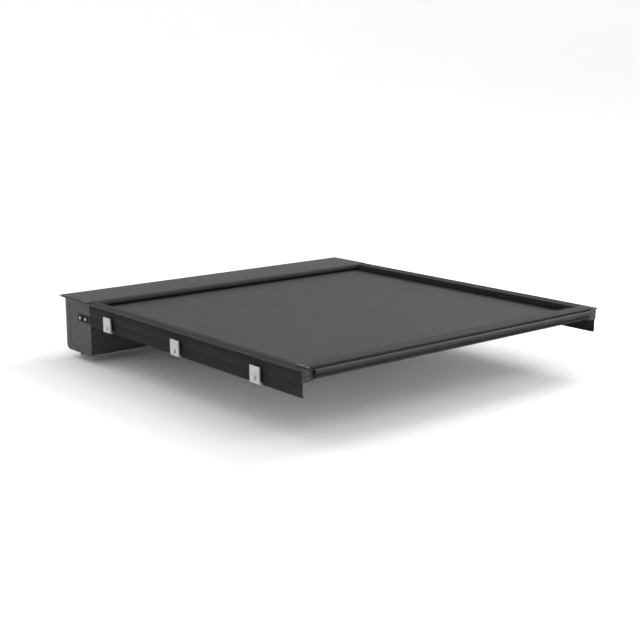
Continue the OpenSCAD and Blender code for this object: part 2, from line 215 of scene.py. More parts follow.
def finish_of(name, color, rough, metallic=0.0, spread=0.08, mottle=5.0, grain=(900.0, 0.02), pebble=None,
              painted_pebble_shade=0.3, streak=None, uneven=0.06, dust=0.0, wear=0.0, sheen=0.0, coat=0.0, specular=0.5):
    """A finish with mottled colour, uneven gloss and fine grain, and, where asked, pebbling with painted
    shade between the pebbles, drawn lines, settled dust and pale worn edges. Grain and pebble are (cells per
    metre, depth in mm), and the pebble shade setting says how dark the painted shade in the low places
    between the pebbles is."""
    made = bpy.data.materials.new(name)
    made.use_nodes = True
    tree = made.node_tree
    shader = tree.nodes["Principled BSDF"]
    coords = tree.nodes.new("ShaderNodeTexCoord")
    large = texture(tree, coords, "noise", mottle, 4.0)
    fine = texture(tree, coords, "noise", grain[0], 2.0)
    tint = mix(tree, remap(tree, large, 0.0, 1.0), scaled(color, 1 - spread), scaled(color, 1 + spread))
    tint = mix(tree, remap(tree, fine, 0.0, 0.35), tint, scaled(color, 1 + 2 * spread))
    patches = texture(tree, coords, "noise", mottle * 9, 5.0)
    gloss = remap(tree, patches, rough - uneven, rough + uneven)
    normal = bump(tree, fine, grain[1])
    if pebble:
        pebbles = texture(tree, coords, "cells", pebble[0])
        normal = bump(tree, pebbles, pebble[1], normal)
        # Painted shade: the colour darkens between the pebbles, standing in for the shade that the pebbled
        # grain would show.
        tint = mix(tree, remap(tree, pebbles, 0.0, painted_pebble_shade, 0.15, 0.6), tint, scaled(color, 0.55))
    if streak:
        lines = texture(tree, coords, "noise", 1.0, 3.0, streak[0])
        normal = bump(tree, lines, streak[1], normal)
        tint = mix(tree, remap(tree, lines, 0.0, 0.5), tint, scaled(color, 1 - 1.5 * spread))
    if dust:
        settled = texture(tree, coords, "noise", 11.0, 6.0, rough=0.7)
        tint = mix(tree, remap(tree, settled, 0.0, dust, 0.45, 0.8), tint, PALE_DUST)
    if wear:
        geometry = tree.nodes.new("ShaderNodeNewGeometry")
        edges = remap(tree, geometry.outputs["Pointiness"], 0.0, wear, 0.52, 0.62)
        tint = mix(tree, edges, tint, scaled(color, 2.2))
    tree.links.new(tint, shader.inputs["Base Color"])
    tree.links.new(gloss, shader.inputs["Roughness"])
    tree.links.new(normal, shader.inputs["Normal"])
    shader.inputs["Metallic"].default_value = metallic
    shader.inputs["Specular IOR Level"].default_value = specular
    shader.inputs["Sheen Weight"].default_value = sheen
    shader.inputs["Coat Weight"].default_value = coat
    look[name] = made
    return made


def coatings():
    """Powder coats: matt, pebbled, paler where an edge is worn."""
    # The pebbled coats below take the default painted shade between their pebbles.
    finish_of("canister_coat", (0.018, 0.019, 0.021), 0.5, pebble=(900.0, 0.03), wear=0.25)
    finish_of("lid_coat", (0.040, 0.042, 0.046), 0.6, spread=0.05, pebble=(900.0, 0.04), uneven=0.03,
              wear=0.15, specular=0.2)
    finish_of("rail_coat", (0.020, 0.0207, 0.0225), 0.5, spread=0.08, pebble=(1300.0, 0.02), uneven=0.04,
              streak=(ALONG_Y, 0.004), wear=0.2, specular=0.03)
    finish_of("bar_coat", (0.0185, 0.0193, 0.021), 0.52, spread=0.05, pebble=(900.0, 0.035), uneven=0.03,
              wear=0.3, specular=0.09)
    finish_of("strip_coat", (0.022, 0.023, 0.025), 0.45, streak=(ALONG_X, 0.006))


def metals():
    finish_of("screw_steel", (0.16, 0.16, 0.17), 0.38, 0.9, grain=(2500.0, 0.006), wear=0.5)
    finish_of("mill_aluminium", (0.66, 0.67, 0.69), 0.34, 1.0, 0.05, streak=(ALONG_X, 0.008))
    finish_of("slat_aluminium", (0.6, 0.61, 0.62), 0.38, 1.0, 0.06, streak=(ALONG_X, 0.012))
    finish_of("zinc_steel", (0.58, 0.58, 0.55), 0.36, 1.0, 0.12, 60.0, (1800.0, 0.008), wear=0.3)
    finish_of("motor_steel", (0.16, 0.17, 0.18), 0.45, 0.2, streak=(ALONG_X, 0.006), wear=0.3)
    finish_of("cast_aluminium", (0.42, 0.43, 0.44), 0.5, 0.9, 0.12, 30.0, (700.0, 0.06), wear=0.3)


def plastics():
    finish_of("acetal_black", (0.018, 0.018, 0.019), 0.42, grain=(1500.0, 0.01))
    finish_of("pipe_black", (0.02, 0.02, 0.02), 0.55, grain=(1200.0, 0.02))
    finish_of("panel_plastic", (0.022, 0.022, 0.024), 0.55, pebble=(1600.0, 0.05))
    finish_of("board_green", (0.012, 0.085, 0.03), 0.3, coat=0.3, streak=((500.0, 20.0, 500.0), 0.03))
    finish_of("button_grey", (0.2, 0.205, 0.21), 0.55, pebble=(2000.0, 0.02), wear=0.2)
    finish_of("nylon_white", (0.62, 0.61, 0.56), 0.4, streak=(ALONG_Y, 0.01), dust=0.15)
    finish_of("cap_plastic", (0.02, 0.02, 0.022), 0.5, pebble=(1500.0, 0.05), dust=0.03)
    # Painted highlight: a light grey, paler than the black cap plastic, standing in for the light caught on
    # the lead bar end caps' rounded corners.
    finish_of("bar_cap_grey", (0.13, 0.135, 0.14), 0.42, pebble=(1500.0, 0.04), wear=0.3)


def soft_goods():
    # Painted shade: the vinyl's colour is darkened strongly between the pebbles of its grain.
    finish_of("vinyl_skin", (0.050, 0.0518, 0.053), 0.72, 0.0, 0.03, 3.0, (1700.0, 0.015),
              pebble=(420.0, 0.14), painted_pebble_shade=0.85, uneven=0.02, specular=0.26)
    finish_of("webbing_black", (0.02, 0.02, 0.021), 0.8, pebble=(1800.0, 0.06))
    finish_of("brush_black", (0.008, 0.008, 0.009), 0.8, grain=(3000.0, 0.03), specular=0.3)
    finish_of("seal_rubber", (0.011, 0.011, 0.012), 0.6, streak=(ALONG_X, 0.01), dust=0.02)
    finish_of("pad_rubber", (0.016, 0.016, 0.016), 0.7, streak=((900.0, 3.0, 3.0), 0.05))
    finish_of("felt_black", (0.011, 0.011, 0.012), 0.95, grain=(2600.0, 0.2), sheen=0.3)


for family in (coatings, metals, plastics, soft_goods):
    family()


# ---------- geometry ----------

def point(axis, t, u, v):
    """A vertex from a place t along the axis and a point (u, v) of the outline across it."""
    x, y, z = {"x": (t, u, v), "y": (u, t, v), "z": (u, v, t)}[axis]
    return Vector((x * MM, y * MM, z * MM))


def fillet(points, radius=0.5, steps=3):
    """A closed outline with rounded corners. A point may carry its own radius as a third number."""
    out = []
    for i, p in enumerate(points):
        here = Vector(p[:2])
        a = Vector(points[i - 1][:2]) - here
        b = Vector(points[(i + 1) % len(points)][:2]) - here
        angle = a.angle(b)
        r = p[2] if len(p) > 2 else radius
        if r <= 0 or math.pi - angle < 0.01:
            out.append(here)
            continue
        reach = min(r / math.tan(angle / 2), a.length * 0.49, b.length * 0.49)
        r = reach * math.tan(angle / 2)
        a.normalize()
        b.normalize()
        centre = here + (a + b).normalized() * (r / math.sin(angle / 2))
        first, last = here + a * reach - centre, here + b * reach - centre
        start = math.atan2(first.y, first.x)
        turn = (math.atan2(last.y, last.x) - start + math.pi) % math.tau - math.pi
        count = max(steps, round(r / 1.5))
        for k in range(count + 1):
            at = start + turn * k / count
            out.append(centre + r * Vector((math.cos(at), math.sin(at))))
    return out


def arc(centre, r, start, end, steps):
    """Points on an arc, between two angles in degrees."""
    angles = [math.radians(start + (end - start) * k / steps) for k in range(steps + 1)]
    return [Vector((centre[0] + r * math.cos(a), centre[1] + r * math.sin(a))) for a in angles]


def circle(u, v, r, steps=32):
    return arc((u, v), r, 0, 360, steps)[:-1]


def rect(u0, u1, v0, v1):
    return [(u0, v0), (u1, v0), (u1, v1), (u0, v1)]


def mirrored(side, points):
    """The outline as it is on the right-hand side, or mirrored for the left."""
    return points if side > 0 else [(-p[0], *p[1:]) for p in reversed(points)]


def between(side, a, b):
    """Two distances from the middle as rising X places on one side."""
    return sorted((side * a, side * b))


def sweep(bm, loops, axis, stations, soften=0.0):
    """Runs an outline, with any holes after it, along an axis. soften rounds the edges of the two ends."""
    rings = [[[bm.verts.new(point(axis, t, *p)) for p in loop] for t in stations] for loop in loops]
    for rows in rings:
        n = len(rows[0])
        for a, b in zip(rows, rows[1:]):
            for i in range(n):
                bm.faces.new((a[i], a[(i + 1) % n], b[(i + 1) % n], b[i]))
    for end in (0, -1):
        flat = [v for rows in rings for v in rows[end]]
        if len(loops) == 1:
            bm.faces.new(flat)
        else:
            for tri in tessellate_polygon([[Vector((*p, 0.0)) for p in loop] for loop in loops]):
                bm.faces.new([flat[i] for i in tri])
    if soften:
        rows = [rings[0][0], rings[0][-1]]
        ends = [bm.edges.get((row[i - 1], row[i])) for row in rows for i in range(len(row))]
        bmesh.ops.bevel(bm, geom=ends, offset=soften * MM, segments=2, profile=0.6, affect="EDGES",
                        clamp_overlap=True)
    return bm


def hexagon(r, angle):
    """How far a hexagon with corners at r reaches at an angle."""
    return r * math.cos(math.pi / 6) / math.cos(angle % (math.pi / 3) - math.pi / 6)


def lathe(bm, profile, centre, axis, steps=40, closed=False):
    """Turns (radius, place) pairs about an axis through centre. A third entry makes that ring a hexagon."""
    rows = []
    for r, t, *six in profile:
        angles = [math.tau * k / steps for k in range(steps if r else 1)]
        reach = [hexagon(r, a) if six else r for a in angles]
        rows.append([bm.verts.new(point(axis, t, centre[0] + d * math.cos(a), centre[1] + d * math.sin(a)))
                     for a, d in zip(angles, reach)])
    pairs = list(zip(rows, rows[1:]))
    if closed:
        pairs.append((rows[-1], rows[0]))
    for a, b in pairs:
        for k in range(steps):
            m = (k + 1) % steps
            corners = dict.fromkeys([a[k % len(a)], a[m % len(a)], b[m % len(b)], b[k % len(b)]])
            if len(corners) > 2:
                bm.faces.new(list(corners))
    return bm


def block(bm, xs, ys, zs, soften=0.5, segments=2):
    """A box with rounded edges between pairs of places."""
    made = bmesh.ops.create_cube(bm, size=1.0)["verts"]
    for v in made:
        v.co = Vector([(s[0] + (s[1] - s[0]) * (c + 0.5)) * MM for s, c in zip((xs, ys, zs), v.co)])
    if soften:
        edges = list({e for v in made for e in v.link_edges})
        bmesh.ops.bevel(bm, geom=edges, offset=soften * MM, segments=segments, profile=0.5,
                        affect="EDGES", clamp_overlap=True)
    return bm


def shade(bm, angle=34.0):
    """Smooth shading, with the sharper edges kept sharp."""
    for f in bm.faces:
        f.smooth = True
    for e in bm.edges:
        e.smooth = len(e.link_faces) == 2 and e.calc_face_angle(0.0) < math.radians(angle)


def mesh_object(name, bm):
    bmesh.ops.recalc_face_normals(bm, faces=bm.faces)
    shade(bm)
    mesh = bpy.data.meshes.new(name)
    bm.to_mesh(mesh)
    bm.free()
    made = bpy.data.objects.new(name, mesh)
    bpy.context.scene.collection.objects.link(made)
    return made


def carve(obj, cutter, operation="DIFFERENCE"):
    """Cuts the cutter's solids out of obj, or joins them to it."""
    tool = mesh_object("cutter", cutter)
    change = obj.modifiers.new("carve", "BOOLEAN")
    change.object, change.operation, change.solver = tool, operation, "EXACT"
    change.use_self = True
    bpy.context.view_layer.update()
    result = bpy.data.meshes.new_from_object(obj.evaluated_get(bpy.context.evaluated_depsgraph_get()))
    obj.modifiers.clear()
    obj.data = result
    bpy.data.objects.remove(tool)
    bm = bmesh.new()
    bm.from_mesh(obj.data)
    bmesh.ops.remove_doubles(bm, verts=bm.verts, dist=1e-6)
    bmesh.ops.dissolve_degenerate(bm, edges=bm.edges, dist=1e-6)
    shade(bm)
    bm.to_mesh(obj.data)
    bm.free()
    return obj


def dress(obj, *nodes, slot=None, body="base"):
    """Gives a piece its finish and its body, from the CAD nodes that it stands for, and hides those nodes."""
    slot = slot or slot_of[nodes[0]]
    obj.data.materials.clear()
    obj.data.materials.append(look[slot])
    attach(obj, body_of[nodes[0]] if nodes else body)
    if nodes:
        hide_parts(*nodes)
    return obj


def piece(name, bm, *nodes, **options):
    return dress(mesh_object(name, bm), *nodes, **options)


def holes_along(axis, places, span, steps=24):
    """Round cutters of (u, v, radius) along an axis over a span."""
    bm = bmesh.new()
    for u, v, r in places:
        lathe(bm, [(0, span[0]), (r, span[0]), (r, span[1]), (0, span[1])], (u, v), axis, steps)
    return bm


# ---------- curtain ----------

def skin():
    """Vinyl skin bonded to the slats, with a faint dip over each joint between two slats."""
    per_slat = 8
    top = []
    for i in range(SLATS * per_slat + 1):
        off = min(i % per_slat, per_slat - i % per_slat)
        top.append((CURTAIN_REAR + i * PITCH / per_slat, SKIN_TOP - 0.05 * math.exp(-(off / 0.9) ** 2)))
    loop = [(CURTAIN_REAR, SLAT_TOP), *top, (CURTAIN_FRONT, SLAT_TOP)]
    across = [SKIN_END * k / 8 for k in range(-8, 9)]
    made = piece("vinyl_skin", sweep(bmesh.new(), [loop[::-1]], "x", across), "curtain_skin")
    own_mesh(made)


def slat_loops(rear):
    """One hollow slat: grooved underside, tapered feet and two cells."""
    w = PITCH - SLAT_GAP
    outer = [(rear, SLAT_TOP), (rear, SLAT_TOP - 3), (rear + 1.6, SLAT_LOW, 0.8)]
    for share in (0.34, 0.66):
        groove = rear + w * share
        outer += [(groove - 0.9, SLAT_LOW, 0), (groove, SLAT_LOW + 0.6, 0), (groove + 0.9, SLAT_LOW, 0)]
    outer += [(rear + w - 1.6, SLAT_LOW, 0.8), (rear + w, SLAT_TOP - 3), (rear + w, SLAT_TOP)]
    floor, roof, web = SLAT_LOW + 1.2, SLAT_TOP - 1.2, rear + w / 2
    return [fillet(outer, 0.35, 2), fillet(rect(rear + 2.2, web - 0.6, floor, roof), 0.8, 2),
            fillet(rect(web + 0.6, rear + w - 2.2, floor, roof), 0.8, 2)]


def slats():
    for pair in range(SLATS // 2):
        bm = bmesh.new()
        for k in (1, 2):
            rear = CURTAIN_FRONT - (pair * 2 + k) * PITCH + SLAT_GAP / 2
            sweep(bm, slat_loops(rear), "x", [-SLAT_END, 0, SLAT_END])
        made = piece(f"slat_pair_{pair + 1:02d}", bm, f"slats_{pair + 1:02d}")
        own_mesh(made)


# ---------- lead bar ----------

def bar_outline():
    """Flat top that falls away to a rounded rear edge, with a fine groove near the curtain."""
    front = CURTAIN_REAR
    return [(BAR_REAR, BAR_LOW, 1.0), (front, BAR_LOW, 1.0), (front, 6.2, 5.0), (front - 9.2, 6.15, 0.25),
            (front - 9.6, 5.4, 0.25), (front - 10.9, 5.4, 0.25), (front - 11.3, 6.25, 0.25),
            (BAR_REAR, 8.0, 6.0)]


def lead_bar():
    wall = 2.5
    web = BAR_REAR + 29.0
    rear_cell = [(BAR_REAR + wall, BAR_LOW + wall), (web, BAR_LOW + wall), (web, 4.6),
                 (BAR_REAR + wall, 5.4, 3.5)]
    front_cell = [(web + wall, BAR_LOW + wall), (CURTAIN_REAR - wall, BAR_LOW + wall),
                  (CURTAIN_REAR - wall, 3.2, 2.5), (web + wall, 4.4)]
    loops = [fillet(bar_outline()), fillet(rear_cell, 1.0), fillet(front_cell, 1.0)]
    bar = mesh_object("lead_bar_extrusion", sweep(bmesh.new(), loops, "x", [-BAR_TIP, 0, BAR_TIP]))
    below_wings = bmesh.new()
    for side in (1, -1):
        block(below_wings, between(side, BAR_END, BAR_TIP + 1), (BAR_REAR - 1, CURTAIN_REAR + 1),
              (BAR_LOW - 1, 4.0), 0)
    dress(carve(bar, below_wings), "lead_bar")
    bar_ends()
    strip = [(CURTAIN_REAR, SKIN_TOP + 0.1), (CURTAIN_REAR + 8, SKIN_TOP + 0.1),
             (CURTAIN_REAR + 8, SKIN_TOP + 0.9), (CURTAIN_REAR + 5, SKIN_TOP + 1.9),
             (CURTAIN_REAR, SKIN_TOP + 1.9)]
    bm = sweep(bmesh.new(), [fillet(strip, 0.4)], "x", [-BAR_END, BAR_END], 0.3)
    piece("skin_clamping_strip", bm, "skin_clamp_strip")


def bar_ends():
    """Rounded caps on the bar's ends, and the glide blocks that run in the rails, each with two screws."""
    caps, glides = bmesh.new(), bmesh.new()
    block_top = SLAT_LOW + 10
    cap = fillet([(BAR_REAR, 4.0, 1.2), (CURTAIN_REAR - 0.6, 4.0, 1.2), (CURTAIN_REAR - 2.0, 6.3, 1.6),
                  (BAR_REAR + 0.4, 8.0, 3.4)], steps=5)
    for side in (1, -1):
        sweep(caps, [cap], "x", between(side, BAR_TIP, BAR_CAP_END), soften=0.9)
        x = between(side, BAR_END, LEG_IN - 2)
        block(glides, x, (BAR_REAR + 6, BAR_REAR + 58), (SLAT_LOW, block_top), 1.2, 3)
        for y in (BAR_REAR + 18, BAR_REAR + 46):
            lathe(glides, [(3.2, block_top - 0.4), (3.2, block_top - 0.05), (2.8, block_top), (0, block_top),
                           (0, block_top - 0.4)], (sum(x) / 2, y), "z", 24, closed=True)
    # These caps take the light grey finish that paints in their corner highlights.
    piece("lead_bar_end_caps", caps, "lead_bar_caps")
    piece("lead_bar_glide_blocks", glides, "lead_bar_glides")


def tail_seal():
    """Extruded rubber: a ribbed web, a hollow bulb behind it and a lip below."""
    web = BAR_REAR - 4
    outline = [(BAR_REAR, -1.0, 0.8), (web, -1.0, 1.6), (web, -14.6, 0.3), (web - 1.2, -15.2, 0.3),
               (web - 1.2, -16.4, 0.3), (web, -17.0, 0.3), (web, -19.5, 1.0), (web - 8, -24.2, 0.7),
               (web - 8, -26.0, 0.7), (BAR_REAR, -26.0, 0.8)]
    bulb = (BAR_REAR - 6.5, -8.0)
    outside, bore = circle(*bulb, 6.5, 40), circle(*bulb, 4.7, 40)
    seal = mesh_object("tail_seal_rubber",
                       sweep(bmesh.new(), [fillet(outline)], "x", [-BAR_END, 0, BAR_END]))
    tube = sweep(bmesh.new(), [outside, bore], "x", [-BAR_END, BAR_END])
    hollow = sweep(bmesh.new(), [bore], "x", [-BAR_END - 1, BAR_END + 1])
    carve(seal, hollow)
    carve(seal, tube, "UNION")
    dress(seal, "tail_seal")


# ---------- rails ----------

def rail_outline():
    """Top flange, inner wall, slat channel, and a leg that ends in a small foot."""
    foot_in, lower = LEG_IN - 6, CHANNEL_LOW - RAIL_WALL
    outline = [
        (WALL_IN, FLANGE_TOP, 1.2), (WALL_IN, CHANNEL_TOP, 0.5), (LEG_IN, CHANNEL_TOP, 0.4),
        (LEG_IN, CHANNEL_LOW, 0.4), (WALL_IN - 2, CHANNEL_LOW, 0.5), (WALL_IN - 2, lower, 1.0),
        (LEG_IN, lower, 1.2), (LEG_IN, LEG_LOW + 3, 1.2), (foot_in, LEG_LOW + 3, 0.6),
        (foot_in, LEG_LOW, 0.6), (HALF, LEG_LOW, 0.8),
    ]
    for z in (-48.0, -12.0):
        outline += [(HALF, z, 0.1), (HALF - 0.6, z, 0.1), (HALF - 0.6, z + 2, 0.1), (HALF, z + 2, 0.1)]
    outline += [(HALF, 0.0, 0.3), (FLANGE_OUT, 0.0, 0.6), (FLANGE_OUT, FLANGE_TOP, 1.2)]
    groove = FLANGE_OUT - 10
    outline += [(groove, FLANGE_TOP, 0.2), (groove, FLANGE_TOP - 0.6, 0.1),
                (groove - 2, FLANGE_TOP - 0.6, 0.1), (groove - 2, FLANGE_TOP, 0.2)]
    return outline


def rail(name, side):
    """One rail: the extrusion, its tongue beside the canister, and its bolt holes."""
    cell = rect(WALL_OUT, LEG_IN, FLANGE_TOP - RAIL_WALL, CHANNEL_TOP + RAIL_WALL)[::-1]
    loops = [fillet(mirrored(side, rail_outline())), fillet(mirrored(side, cell), 1.0)]
    obj = mesh_object(name + "_extrusion", sweep(bmesh.new(), loops, "y", RAIL_STATIONS))
    tongue = block(bmesh.new(), between(side, LEG_IN, HALF), (CANISTER_REAR - 0.6, TONGUE_FRONT),
                   (LEG_LOW + 6, LEG_LOW + 32), 0)
    carve(obj, tongue, "UNION")
    places = [(y, BOLT_Z, CLAMP_HOLE) for y in CLAMP_Y] + [(y, BOLT_Z, JOINER_HOLE) for y in JOINER_Y]
    carve(obj, holes_along("x", places, between(side, LEG_IN - 7, HALF + 10)))
    dress(obj, name)


def rail_trim():
    """What lines and closes the rails: felt, nylon strips, lip seals and rear caps with their screws."""
    felt, wear, lip, caps = (bmesh.new() for _ in range(4))
    inner, outer = WALL_OUT - 1, LEG_IN - 1
    nap = [(inner, SKIN_TOP + 0.45, 0.5), (outer, SKIN_TOP + 0.3, 0.5), (outer, CHANNEL_TOP, 0.1),
           (inner, CHANNEL_TOP, 0.1)]
    strip = [(inner, CHANNEL_LOW, 0.1), (outer, CHANNEL_LOW, 0.1), (outer, SLAT_LOW - 0.3, 0.5),
             (inner, SLAT_LOW - 0.3, 0.9)]
    x = FLANGE_OUT
    bead = [(x, 0.4, 0.2), (x + 1.6, 0.4, 0.4), (x + 3.0, 0.0, 1.2), (x + 5.0, 0.6, 1.4), (x + 4.8, 3.0, 1.4),
            (x + 3.0, 4.0, 1.5), (x + 1.4, 2.6, 0.5), (x, 2.6, 0.2)]
    plug = [(WALL_IN, FLANGE_TOP, 1.6), (WALL_IN, CHANNEL_LOW - 3, 1.6), (HALF, CHANNEL_LOW - 3, 1.6),
            (HALF, -0.5, 0.4), (x, -0.5, 0.8), (x, FLANGE_TOP, 1.6)]
    for side in (1, -1):
        sweep(felt, [fillet(mirrored(side, nap))], "y", RAIL_STATIONS)
        sweep(wear, [fillet(mirrored(side, strip))], "y", RAIL_STATIONS)
        sweep(lip, [fillet(mirrored(side, bead))], "y", [RAIL_REAR, -600, LID_FRONT], 0.3)
        sweep(caps, [fillet(mirrored(side, plug))], "y", [RAIL_REAR - 4, RAIL_REAR], 0.8)
    piece("rail_felt_strips", felt, "rail_felts")
    piece("rail_nylon_strips", wear, "rail_wear_strips")
    piece("rail_lip_seals", lip, "rail_seals")
    plugs = mesh_object("rail_rear_caps", caps)
    rear = RAIL_REAR - 5
    sinks = holes_along("y", [(*place, 2.6) for place in CAP_SCREWS], (rear, rear + 2.2))
    dress(carve(plugs, sinks), "rail_end_caps")
    screws = bmesh.new()
    for place in CAP_SCREWS:
        lathe(screws, [(0, rear + 2.7), (2.2, rear + 2.7), (2.5, rear + 2.2), (2.3, rear + 1.6),
                       (1.3, rear + 1.4), (1.1, rear + 1.4, 6), (1.0, rear + 2.1, 6), (0, rear + 2.2)],
              place, "y", 24)
    piece("rail_cap_screws", screws, slot="screw_steel")


# ---------- fasteners ----------

def thread(r, start, end, pitch=1.25):
    """The turned outline of a threaded end."""
    step = math.copysign(pitch, end - start)
    out = []
    for turn in range(int(abs(end - start) / pitch - 0.1)):
        t = start + turn * step
        out += [(r, t), (r, t + step * 0.12), (r - 0.62, t + step * 0.5), (r - 0.62, t + step * 0.62)]
    return [*out, (r - 0.8, end)]


def clamps():
    """Three hooked jaws a side, each with a ribbed rubber pad, a flanged hex bolt and a lock nut."""
    jaws, pads, bolts, nuts = (bmesh.new() for _ in range(4))
    hook = [(FLANGE_OUT, -26.0, 1.2), (FLANGE_OUT, -76.0, 2.0), (HALF, -76.0, 1.2), (HALF, -82.0, 1.2),
            (JAW_OUT, -82.0, 3.0), (JAW_OUT, -26.0, 2.5)]
    ribs = 6
    width, height = (-23.0, 23.0), (-50.0, -28.0)
    pitch = (width[1] - width[0]) / ribs
    for s in (1, -1):
        for y in CLAMP_Y:
            sweep(jaws, [fillet(mirrored(s, hook), steps=4)], "y", [y - 25, y + 25], 1.0)
            block(pads, between(s, FLANGE_OUT - 1.1, FLANGE_OUT), (y + width[0], y + width[1]), height, 0.3)
            for k in range(ribs):
                rear = y + width[0] + (k + 0.15) * pitch
                block(pads, between(s, FLANGE_OUT - 2, FLANGE_OUT - 1), (rear, rear + 0.7 * pitch),
                      height, 0.4)
            head, leg, nut = s * (LEG_IN - 7), s * LEG_IN, s * JAW_OUT
            lathe(bolts, [(0, head + s * 0.2), (3.2, head + s * 0.2), (6.6, head, 6),
                          (7.5, head + s * 0.8, 6), (7.5, head + s * 5.4, 6), (8.5, head + s * 5.4),
                          (8.5, leg), (4.0, leg), *thread(4.0, nut - s, nut + s * 9), (0, nut + s * 9)],
                  (y, BOLT_Z), "x", 48)
            lathe(nuts, [(4.05, nut), (7.2, nut, 6), (7.5, nut + s * 0.5, 6), (7.5, nut + s * 4.6, 6),
                         (6.4, nut + s * 5.2), (6.1, nut + s * 6.2), (5.0, nut + s * 6.5),
                         (4.05, nut + s * 6.0)], (y, BOLT_Z), "x", 48, closed=True)
    obj = mesh_object("clamp_jaw_castings", jaws)
    for s in (1, -1):
        through = between(s, FLANGE_OUT - 1, JAW_OUT + 1)
        carve(obj, holes_along("x", [(y, BOLT_Z, CLAMP_HOLE) for y in CLAMP_Y], through))
    dress(obj, "clamp_jaws")
    piece("clamp_rubber_pads", pads, "clamp_pads")
    piece("clamp_hex_bolts", bolts, "clamp_bolts")
    piece("clamp_lock_nuts", nuts, "clamp_nuts")


def side_fasteners():
    """Bolts that join the rails to the canister, and the end plates' screws."""
    joiners, screws = bmesh.new(), bmesh.new()
    for s in (1, -1):
        face, inside, outside = s * HALF, s * END_IN, s * LEG_IN
        for y in JOINER_Y:
            lathe(joiners, [(0, face + s * 3.6), (3.0, face + s * 3.6), (5.0, face + s * 4.0, 6),
                            (5.8, face + s * 3.4, 6), (5.8, face, 6), (3.0, face),
                            *thread(3.0, inside - s * 4, inside - s * 8, 1.0), (0, inside - s * 8)],
                  (y, BOLT_Z), "x", 48)
            lathe(joiners, [(3.05, inside), (5.8, inside, 6), (5.8, inside - s * 4.4, 6),
                            (5.0, inside - s * 5, 6), (3.05, inside - s * 5)],
                  (y, BOLT_Z), "x", 48, closed=True)
        for y, z, _ in PORTS:
            lathe(screws, [(0, outside + s), (1.75, outside + s, 6), (1.85, outside + s * 2.3, 6),
                           (3.2, outside + s * 2.4), (4.3, outside + s * 1.7), (4.6, outside + s * 0.8),
                           (4.6, outside), (2.0, outside), (2.0, inside - s * 16), (0, inside - s * 16)],
                  (y, z), "x", 48)
    piece("rail_joiner_bolts", joiners, "rail_joiners")
    piece("end_plate_pan_screws", screws, "end_plate_screws")


def lid_screws():
    """Countersunk screws with a hexagon socket, through the lid."""
    bm = bmesh.new()
    for place in LID_SCREWS:
        lathe(bm, [(0, 0.4), (2.2, 0.4), (2.4, 0.7), (2.4, 3.4), (4.7, 5.6), (4.6, 5.75), (2.2, 5.75),
                   (1.8, 5.6, 6), (1.75, 3.9, 6), (0, 3.8)], place, "z", 48)
    piece("lid_countersunk_screws", bm, "lid_screws")


# ---------- canister ----------

def shell():
    """Trough with rounded corners, hemmed rear edge, front flange and four screw ports."""
    rear, front, floor = CANISTER_REAR, SHELL_FRONT, CANISTER_LOW
    outline = [(LID_FRONT, 3, 1.0), (LID_FRONT, 0, 0.6), (front, 0, 0.8), (front, floor, CORNER),
               (rear, floor, CORNER), (rear, -47, 1.2), (rear + 3.0, -46.2, 1.0), (rear + 3.1, -48.6, 0.8),
               (rear + SHEET, -50, 0.6), (rear + SHEET, floor + SHEET, CORNER - SHEET),
               (front - SHEET, floor + SHEET, CORNER - SHEET), (front - SHEET, 3, 0.8)]
    obj = mesh_object("canister_shell_extrusion",
                      sweep(bmesh.new(), [fillet(outline)], "x", [-END_IN, END_IN]))
    ports = bmesh.new()
    for y, z, r in PORTS:
        lathe(ports, [(r, -END_IN), (r, END_IN), (2.1, END_IN), (2.1, -END_IN)], (y, z), "x", 32, closed=True)
    carve(obj, ports, "UNION")
    drains = [(side * DRAIN[0], DRAIN[1], 6.0) for side in (1, -1)]
    carve(obj, holes_along("z", drains, (floor - 3, floor + 6)))
    carve(obj, holes_along("z", [(*place, LID_HOLE) for place in LID_SCREWS], (-1, 5)))
    wires = [(middle(name, "x"), BUTTON_Z + 12, 3.0) for name in BUTTONS]
    carve(obj, holes_along("y", [(*SOCKET, 6.0), *wires], (rear - 2, rear + 5)))
    dress(obj, "canister_shell")


def lid():
    """Flat cover with a rounded hollow nose over the curtain's mouth and a tab at each end."""
    end, top, under = END_IN - 1, LID_TOP, 3.0
    outline = [(LID_FRONT, top, 1.4), (NOSE_REAR, top, 17.0), (NOSE_REAR, NOSE_LOW, 0.8),
               (NOSE_FRONT, NOSE_LOW, 0.8), (NOSE_FRONT, under, 0.4), (LID_FRONT, under, 0.6)]
    rear, front, floor = NOSE_REAR + 3, NOSE_FRONT - 3, NOSE_LOW + 2.4
    hollow = [(front, under, 0.5), (rear, under, 14.0), (rear, floor, 0.8), (front, floor, 0.8)]
    loops = [fillet(outline, steps=6), fillet(hollow, steps=6)]
    obj = mesh_object("canister_lid_cover", sweep(bmesh.new(), loops, "x", [-end, 0, end]))
    for side in (1, -1):
        tab = [(end - 4, NOSE_REAR - 5, 0), (FLANGE_OUT, NOSE_REAR - 5, 5.0), (FLANGE_OUT, LID_FRONT, 5.0),
               (end - 4, LID_FRONT, 0)]
        loop = fillet(mirrored(side, tab), steps=6)
        carve(obj, sweep(bmesh.new(), [loop], "z", [under, top]), "UNION")
    sinks = bmesh.new()
    for place in LID_SCREWS:
        lathe(sinks, [(0, 2), (2.7, 2), (2.7, 3.5), (5.2, top), (5.2, top + 1), (0, top + 1)], place, "z", 40)
    dress(carve(obj, sinks), "canister_lid")


